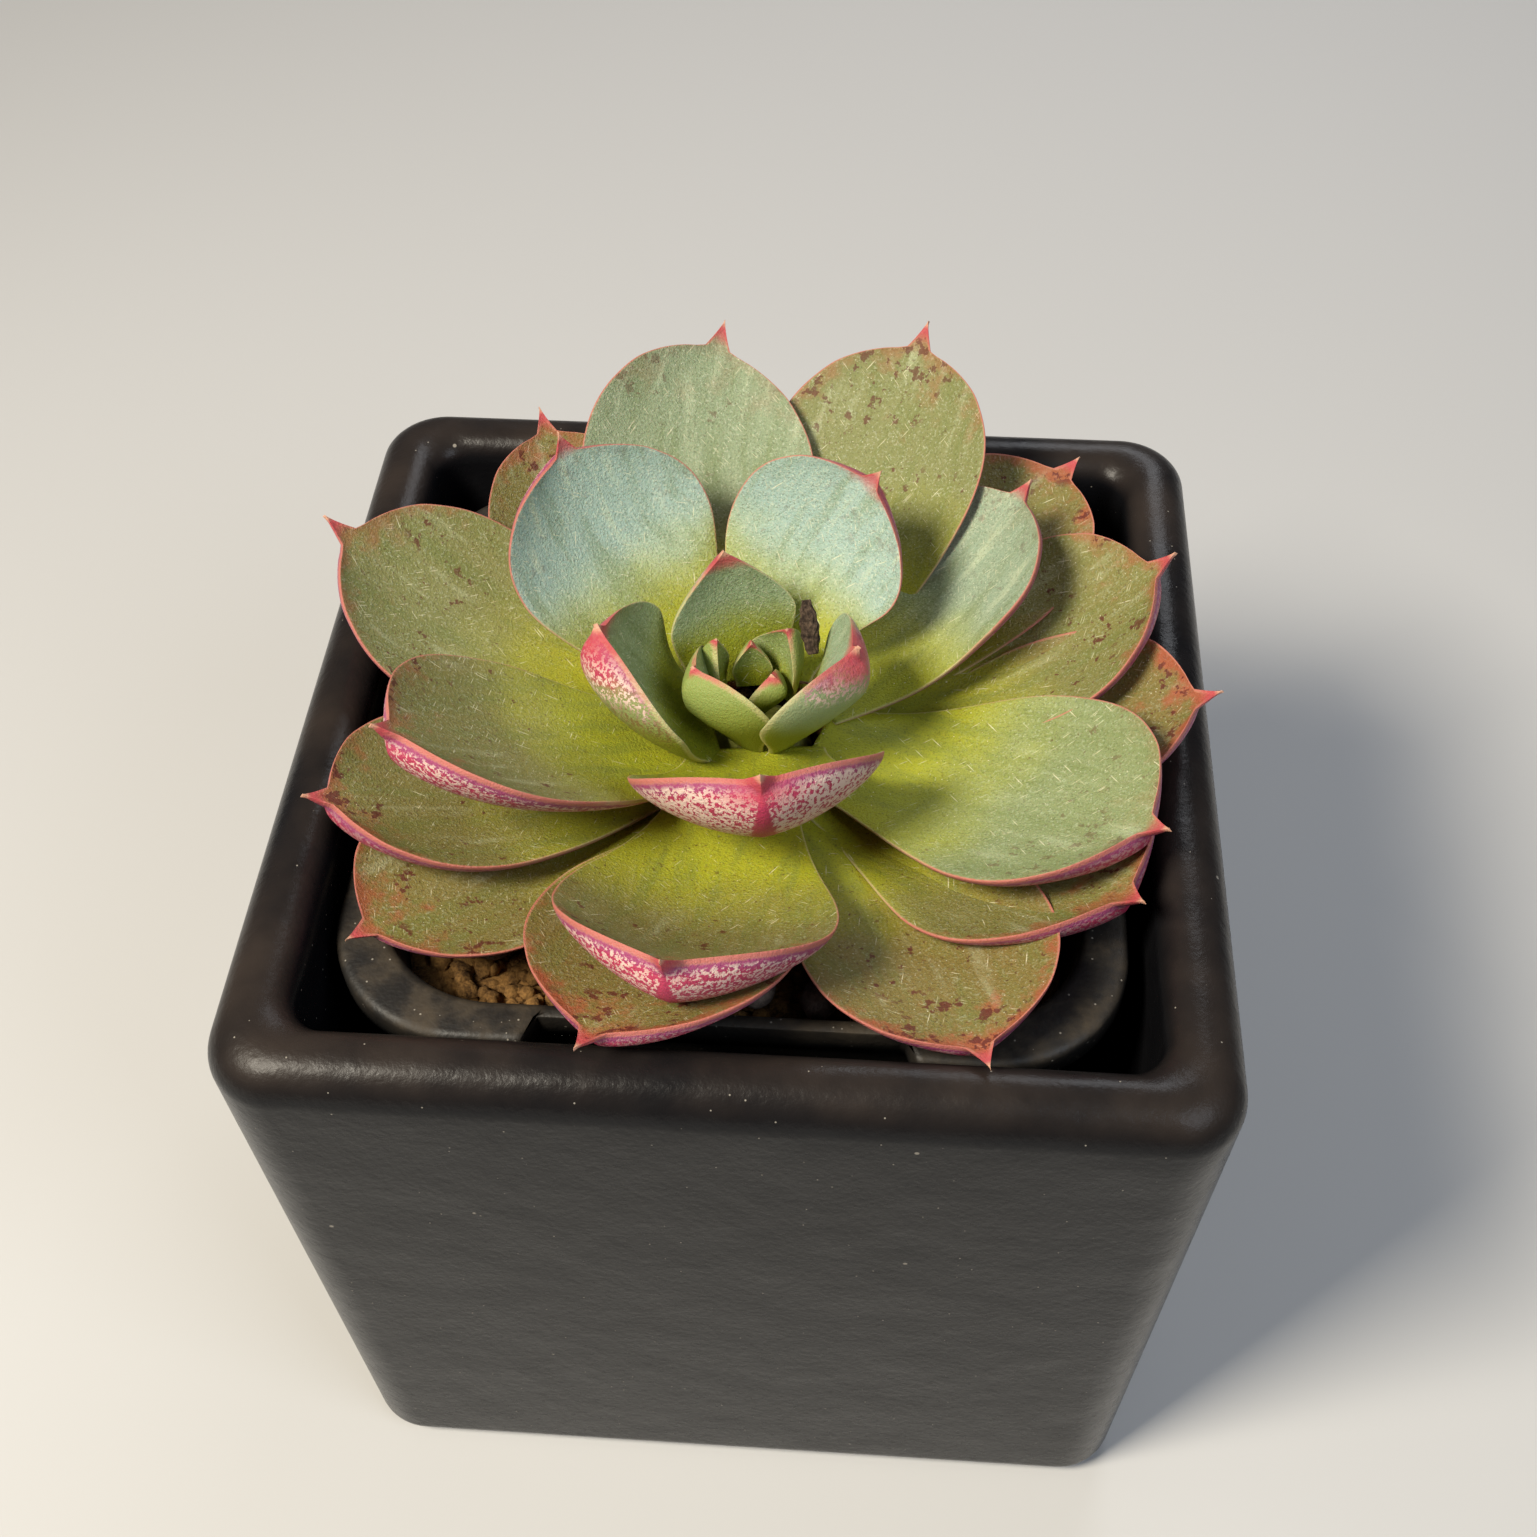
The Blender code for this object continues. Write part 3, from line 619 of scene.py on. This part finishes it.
# One row for each leaf, from the heart outwards. Most of the directions, reaches, heights and widths began
# as a fitting program's results, rounded, and aren't a design. The first nine numbers repeat the frame's
# leaf: direction of the tip, reach, height of the tip, width, bow, bend, roll, cup and pointedness. The last
# two are its looks: bloom, how thick its pale wax is, and age, how far it has gone olive and blotched.
LEAVES = [
    (330, 2, 87, 5, 0.15, 0, 0, 0.4, 0.8, 0.1, 0),
    (100, 1.5, 88.5, 4, 0.1, 0, 0, 0.4, 1, 0, 0),
    (42, 4, 89.5, 7, 0.15, 0, 0, 0.5, 0.8, 0.1, 0),
    (172, 3.5, 90, 4, 0.1, 0, 0, 0.4, 1, 0, 0),
    (221, 7, 91.5, 13, 0.05, -20, -10, 0.4, 0.5, 0.1, 0.05),
    (114, 8, 95, 13, 0.15, 0, 0, 0.2, 0.95, 0.35, 0),
    (336, 11, 95, 16, 0, 15, 5, 0.3, 0, 0.5, 0),
    (192, 14.5, 95, 19, 0.2, -10, 0, 0.35, 0.4, 0.3, 0.1),
    (276, 23, 98, 24, 0.25, 0, 4, 0.25, 0.35, 0.2, 0.2),
    (55, 20, 98, 20, 0.25, -22, 0, 0.25, 0, 1, 0),
    (137, 28, 99, 23, 0.35, 0, -5, 0.25, 0, 1, 0),
    (212, 37, 98.5, 23, 0.15, 0, 6, 0.25, 0, 0.2, 0.75),
    (264, 41, 96, 25, 0.35, 0, 0, 0.25, 0, 0.1, 0.8),
    (42, 36, 91, 23, 0.2, 4, -15, 0.25, 0, 0.7, 0.1),
    (332, 43, 90, 25, 0.2, -8, 0, 0.25, 0, 0.3, 0.2),
    (163, 46, 92, 24, 0.3, 0, 0, 0.25, 0, 0.3, 0.55),
    (98, 44, 95, 25, 0.2, -18, 8, 0.25, 0, 0.6, 0.2),
    (70, 46, 96, 25, 0.22, 0, -10, 0.25, 0, 0.4, 0.5),
    (19, 43, 91, 24, 0.28, 0, -6, 0.25, 0, 0.2, 0.65),
    (206, 44, 88, 21, 0.2, 0, 0, 0.25, 0, 0.1, 0.8),
    (325, 44, 86, 28, 0.25, -10, 0, 0.25, 0, 0.1, 0.7),
    (125, 46, 87, 21, 0.25, -8, 0, 0.25, 0, 0.2, 0.8),
    (255, 45, 86.5, 25, 0.08, -10, 5, 0.25, 0, 0, 1),
    (299, 47, 83, 23, 0.1, -10, 0, 0.25, 0, 0, 1),
    (222, 46, 82, 21, 0.1, 6, -5, 0.25, 0, 0.1, 0.9),
    (358, 44.5, 88, 23, 0.18, 0, 0, 0.25, 0, 0, 1),
    (46, 47, 86, 23, 0.1, 0, 0, 0.25, 0, 0.1, 0.9),
]


def ease(value, low, high):
    """Rises smoothly from 0 to 1 as the value goes from low to high."""
    share = np.clip((value - low) / (high - low), 0.0, 1.0)
    return share * share * (3 - 2 * share)


def leaf_width(along, pointed):
    """Width over greatest width: round shoulders ending in a small hollow-sided point, or a pointed arch.

    Blade: a smooth rise to WIDEST_AT, then (1 - past^2.4)^0.55. Arch: a smooth rise, then (1 - past^1.7)^1.2.
    The second outline takes over from the first as pointed goes from 0 to 1.
    """
    rising = NECK + (1 - NECK) * ease(along, -0.05, WIDEST_AT)
    past = np.clip((along - WIDEST_AT) / (SHOULDER_AT - WIDEST_AT), 0.0, 1.0)
    blade = np.where(along < WIDEST_AT, rising, (1 - past ** 2.4) ** 0.55)
    point = TIP_WIDTH * np.clip((1 - along) / (1 - TIP_FROM), 0.0, 1.0) ** 1.25
    tip = (blade ** 3 + point ** 3) ** (1 / 3)
    blade = blade + (tip - blade) * ease(along, TIP_FROM - 0.06, TIP_FROM)
    past = np.clip((along - ARCH_WIDEST) / (1 - ARCH_WIDEST), 0.0, 1.0)
    arch = np.where(along < ARCH_WIDEST, ARCH_NECK + (1 - ARCH_NECK) * ease(along, 0.0, ARCH_WIDEST),
                    (1 - past ** 1.7) ** 1.2)
    return blade + (arch - blade) * pointed


def leaf_points(row, order):
    """Points of one leaf, and for each point its place along, across, side and distance from the margin.

    Midrib: a quadratic curve from the dome to the tip that sags by bow times its chord.
    Section: x = half width cos a; depth = 0.15 thickness sin a above, 0.85 thickness sin a below with
    a keel, plus cup times half width times cos^2 a, which raises both margins.
    """
    direction, reach, height, width, bow, bend, roll, cup, pointed = row[:9]
    turn = math.radians(90) * order ** 0.7
    tip_turn = math.radians(direction)
    base_turn = math.radians(direction - bend)
    outward = np.array([math.cos(base_turn), math.sin(base_turn), 0.0])
    upward = np.array([0.0, 0.0, 1.0])
    base = outward * DOME_RADIUS * math.sin(turn)
    base = base + upward * (DOME_BASE + DOME_HEIGHT * math.cos(turn) - 2 * order)
    tip = np.array([reach * math.cos(tip_turn), reach * math.sin(tip_turn), height])
    chord = tip - base
    run = chord @ outward
    sag = outward * chord[2] - upward * run
    knee = base + outward * run / 2 + upward * chord[2] / 2 + sag * bow

    along = 1 - (1 - np.linspace(0.0, 0.998, STATIONS)) ** 1.3
    share = along[:, None]
    midrib = (1 - share) ** 2 * base + 2 * share * (1 - share) * knee + share ** 2 * tip
    forward = 2 * (1 - share) * (knee - base) + 2 * share * (tip - knee)
    forward /= np.linalg.norm(forward, axis=1)[:, None]
    middle_turn = base_turn + 0.7 * (tip_turn - base_turn)
    sideways = np.tile([-math.sin(middle_turn), math.cos(middle_turn), 0.0], (STATIONS, 1))
    sideways -= forward * np.sum(sideways * forward, axis=1)[:, None]
    sideways /= np.linalg.norm(sideways, axis=1)[:, None]
    facing = np.cross(forward, sideways)
    tilt = np.radians(roll) * ease(along, 0.05, 0.6)[:, None]
    edge = sideways * np.cos(tilt) + facing * np.sin(tilt)
    facing = facing * np.cos(tilt) - sideways * np.sin(tilt)

    around = np.linspace(0.0, 2 * math.pi, SIDES, endpoint=False)
    across = np.cos(around)[None, :]
    rise = np.sin(around)[None, :]
    half = (leaf_width(along, pointed) * width / 2)[:, None]
    fullness = np.clip(leaf_width(np.maximum(along, WIDEST_AT), pointed), 0.02, 1.0) ** 0.6
    thickness = LEAF_THICKNESS * min(1.0, 0.35 + width / 30) * (1 - 0.3 * ease(order, 0.7, 1.0))
    thick = (thickness * (0.6 + 0.4 * ease(along, 0.0, 0.5)) * fullness)[:, None]
    cupping = (cup * ease(along, 0.0, 0.5))[:, None] * half * across ** 2
    keel = 1 + 0.45 * (1 - abs(across)) ** 1.5 * ease(along, 0.3, 0.85)[:, None]
    depth = np.where(rise > 0, 0.15, 0.85 * keel) * thick * rise + cupping
    points = (midrib[:, None, :] + edge[:, None, :] * (half * across)[..., None]
              + facing[:, None, :] * depth[..., None])
    points[:, :, 1] += ROSETTE_Y
    length = np.linalg.norm(chord)
    carried = {"along": along[:, None] + 0 * across, "across": across + 0 * share,
               "under": ease(-rise, -0.15, 0.15) + 0 * share,
               "inset": np.hypot(half * (1 - abs(across)), 0.85 * thick * rise),
               "to_tip": (1 - share) * length + 0 * across, "sideways": half * across}
    return points, carried


def carry(piece, carried):
    """Stores numbers at each point of a skin; its two closing points take their ring's mean."""
    for name, values in carried.items():
        values = np.broadcast_to(values, (STATIONS, SIDES))
        full = np.concatenate([values.ravel(), [values[0].mean(), values[-1].mean()]])
        layer = piece.data.attributes.new(name, 'FLOAT', 'POINT')
        layer.data.foreach_set("value", full.astype(np.float32))


def leaf_patterns(shade, number):
    """What the leaf's colours are worked out from: places on it, in millimetres or shares, and noises."""
    on = SimpleNamespace(**{name: shade.attribute(name) for name in
                            ("along", "across", "under", "inset", "to_tip", "sideways")})
    on.flat = shade.make("ShaderNodeCombineXYZ", {}, {0: on.to_tip, 1: on.sideways, 2: 7.3 * number})
    on.cloud = shade.noise(6, 4)
    on.fine = shade.noise(0.30, 3, 0.7)
    on.grain = shade.noise(0.20, 2, 0.7)
    on.wide = shade.noise(3.2, 4, 0.65)
    on.blots = shade.noise(1.5, 3, 0.7)
    on.ragged = (on.blots - 0.5) * 1.6
    on.mottle = shade.noise(0.42, 3, 0.65).step(*(MOTTLE_MORE if number == SHOWN_KEEL else MOTTLE_EVEN))
    return on


def upper_skin(shade, on, number, bloom, age):
    """Lime base, then green, bluish with wax or olive with age; streaks, speckle, fibres, dust, spots."""
    green, waxy, olive = (np.array(colour) for colour in (LEAF_GREEN, LEAF_WAXY, LEAF_OLIVE))
    blade = green + (waxy - green) * bloom * (1 - age)
    blade = tuple((blade + (olive - blade) * age).tolist())
    lime = LIME_YOUNG if number < FIRST_OPEN else LIME_OPEN
    top = (on.along + (on.cloud - 0.5) * 0.25).step(0.26, 0.64).mix(lime, blade)
    streaks = shade.noise(1.0, 4, 0.6, shade.make("ShaderNodeCombineXYZ", {}, {
        0: on.to_tip * 0.09, 1: on.sideways * 0.45, 2: 5.7 * number}), True)
    top = (streaks.step(0.46, 0.68) * 0.40).mix(top, (0.13, 0.17, 0.035))
    pale = streaks.step(0.46, 0.28) * on.along.step(0.3, 0.7)
    top = (pale * (0.20 + 0.25 * bloom)).mix(top, (0.60, 0.64, 0.42))
    waxed = on.fine.step(0.50, 0.70) * on.along.step(0.15, 0.55)
    top = (waxed * (0.22 + 0.30 * bloom)).mix(top, (0.64, 0.67, 0.50))
    top = (on.grain.step(0.50, 0.30) * 0.45).mix(top, (0.045, 0.055, 0.012))

    fibres = shade.fibres(on.flat, 0.5, 2.4, 0.035) + shade.fibres(on.flat, -0.9, 1.6, 0.05)
    top = (fibres.capped() * 0.6).mix(top, (0.75, 0.70, 0.48))
    dust = shade.flecks(0.55, 0.07, 0.35) + shade.flecks(2.4, 0.12, 0.25)
    top = (dust.capped() * 0.65).mix(top, (0.80, 0.77, 0.58))

    near_end = on.along + (on.wide - 0.5) * 0.9 + on.inset.step(4.0, 0.0) * 0.15
    top = (near_end.step(0.82, 1.06) * age * 0.65).mix(top, (0.38, 0.055, 0.035))
    spots = (on.blots + (on.along - 0.75) * 0.22).step(0.585, 0.63) * shade.noise(7, 1).step(0.44, 0.56)
    top = (spots * (0.85 * min(1.0, 0.25 + 1.2 * age))).mix(top, (0.10, 0.016, 0.013))
    specks = shade.noise(0.5, 2, 0.5).step(0.64, 0.70) * on.wide.step(0.60, 0.40) * (0.25 + 0.75 * age)
    return (specks * 0.7).mix(top, (0.08, 0.028, 0.012))


def lower_skin(on, number, bloom):
    """Crimson with flaking wax that spares the keel and the margin, and a painted purple sheen along the
    margin; the heart's leaves redden only on top.
    """
    cloudy_rise = on.along + (on.cloud - 0.5) * 0.3
    if number < FIRST_RED_BELOW:
        return cloudy_rise.step(0.35, 0.8).mix((0.20, 0.22, 0.018), (0.24, 0.29, 0.075))
    keel = (on.across.math('ABSOLUTE', on.across) + (on.fine - 0.5) * 0.12).step(0.13, 0.09)
    scaly = on.mottle * (on.inset + on.ragged * 0.7).step(0.55, 1.1) * (1 - keel) * on.to_tip.step(1.0, 4.0)
    flaking = 0.95 if number < 10 else 0.85 if number < 14 else 0.40
    # Painted sheen: purple near the margin, crimson further in
    below = (on.inset + on.ragged).step(1.9, 0.9).mix(CRIMSON, MARGIN_SHEEN_PURPLE)
    below = (scaly * flaking).mix(below, WAX_BELOW)
    if number >= FIRST_OPEN:
        return below
    leaf_green = np.array((0.20, 0.22, 0.020)) * (1 - bloom) + np.array((0.40, 0.48, 0.34)) * bloom
    green_below = cloudy_rise.step(0.40, 0.66).mix((0.22, 0.24, 0.018), tuple(leaf_green.tolist()))
    reddens = HIGH_REDDENING
    if number == LOW_RED_HEART_LEAF:
        reddens = LOW_REDDENING
        green_below = (on.mottle * cloudy_rise.step(0.3, 0.6) * 0.7).mix(green_below, (0.20, 0.085, 0.035))
    reddening = (on.along + (on.mottle - 0.5) * 0.10 + (on.wide - 0.5) * 0.3).step(*reddens)
    return reddening.mix(green_below, (on.mottle * 0.35).mix(below, WAX_BELOW))


def edged(on, body, number):
    """The skin with its margin, pale and then pink towards the tip, and its red point with a tan end."""
    rim = (on.inset + (on.fine - 0.5) * 0.5).step(0.62, 0.28)
    body = (rim * 0.5).mix(body, (0.58, 0.50, 0.25))
    pink_from = (0.75, 0.95) if number < FIRST_OPEN else (0.30, 0.62)
    pink = rim * (on.along + (on.wide - 0.5) * 0.5).step(*pink_from)
    body = (pink * 0.75).mix(body, (0.47, 0.10, 0.095))
    length = POINT_SMALL if number < FIRST_RED_BELOW else POINT_FULL
    red = (on.to_tip + on.ragged * 0.3 * length).step(length, 0.4 * length)
    body = (red * 0.85).mix(body, (0.46, 0.060, 0.075))
    return (on.to_tip.step(0.35 * length, 0.1 * length) * 0.75).mix(body, (0.66, 0.40, 0.26))


def leaf_material(number, bloom, age):
    """One leaf's skin: its two faces, its margin, and a relief of wax grains and faint ridges."""
    material, shade, shader = new_material(f"leaf_skin_{number:02d}", Metallic=0.0, Specular_IOR_Level=0.30,
                                           Subsurface_Weight=0.08, Subsurface_Scale=0.0012)
    on = leaf_patterns(shade, number)
    body = on.under.mix(upper_skin(shade, on, number, bloom, age), lower_skin(on, number, bloom))
    shade.feed(shader.inputs["Base Color"], edged(on, body, number))
    shade.feed(shader.inputs["Roughness"], 0.46 + on.fine * 0.2 - 0.08 * on.under)
    ridges = shade.noise(1.0, 2, 0.5, shade.make("ShaderNodeCombineXYZ", {}, {
        0: on.to_tip * 0.05, 1: on.sideways * 0.6, 2: 3.1 * number}), True)
    relief = on.fine * 0.30 + on.grain * 0.18 + on.cloud * 0.6 + ridges * 0.16
    shade.feed(shader.inputs["Normal"], shade.bump(relief, 0.45))
    return material


def make_leaves():
    """All leaves, each in the place of its CAD solid."""
    for number, row in enumerate(LEAVES, start=1):
        order = number / len(LEAVES)
        points, carried = leaf_points(row, order)
        leaf = skin(f"blade_{number:02d}", points, leaf_material(number, *row[9:]))
        carry(leaf, carried)
        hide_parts(f"leaf_{number:02d}")
        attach(leaf, "root")


make_leaves()

# ---------------------------------------------------------------- dried husk
# A shrivelled dark leaf that leans between the heart's leaves, wrinkled along its length.

HUSK_FOOT = (5.7, 1.7, 88.2)
HUSK_TIP = (4.8, 5.2, 92.0)
HUSK_HALF_WIDTH = 1.0
HUSK_FLATNESS = 0.7


def make_husk():
    """A flattened spindle: half width = full half width (0.35 + 0.65 sin of the share), with ten wrinkles."""
    material, shade, shader = new_material("dry_husk", Metallic=0.0, Roughness=0.85, Specular_IOR_Level=0.3)
    crust = shade.noise(0.5, 5, 0.7)
    colour = crust.step(0.35, 0.75).mix((0.018, 0.010, 0.006), (0.13, 0.085, 0.055))
    shade.feed(shader.inputs["Base Color"], colour)
    shade.feed(shader.inputs["Normal"], shade.bump(crust, 0.35))
    foot, tip = np.array(HUSK_FOOT), np.array(HUSK_TIP)
    forward = (tip - foot) / np.linalg.norm(tip - foot)
    sideways = np.cross(forward, (0.0, 1.0, 0.0))
    sideways /= np.linalg.norm(sideways)
    facing = np.cross(forward, sideways)
    share = np.linspace(0.0, 1.0, 60)[:, None]
    turn = np.linspace(0.0, 2 * math.pi, 80, endpoint=False)[None, :]
    wrinkle = 1 - 0.08 * (1 + np.sin(10 * turn + 5 * np.sin(7 * share)))
    lumpy = 1 - 0.06 * (1 + np.sin(26 * share + 2 * np.cos(turn)))
    half = HUSK_HALF_WIDTH * (0.35 + 0.65 * np.sin(math.pi * (0.1 + 0.85 * share))) * wrinkle * lumpy
    points = (foot + (tip - foot) * share[..., None] + (half * np.cos(turn))[..., None] * sideways
              + (HUSK_FLATNESS * half * np.sin(turn))[..., None] * facing)
    husk = skin("husk_shrivelled", points, material)
    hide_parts("dried_husk")
    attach(husk, "root")


make_husk()
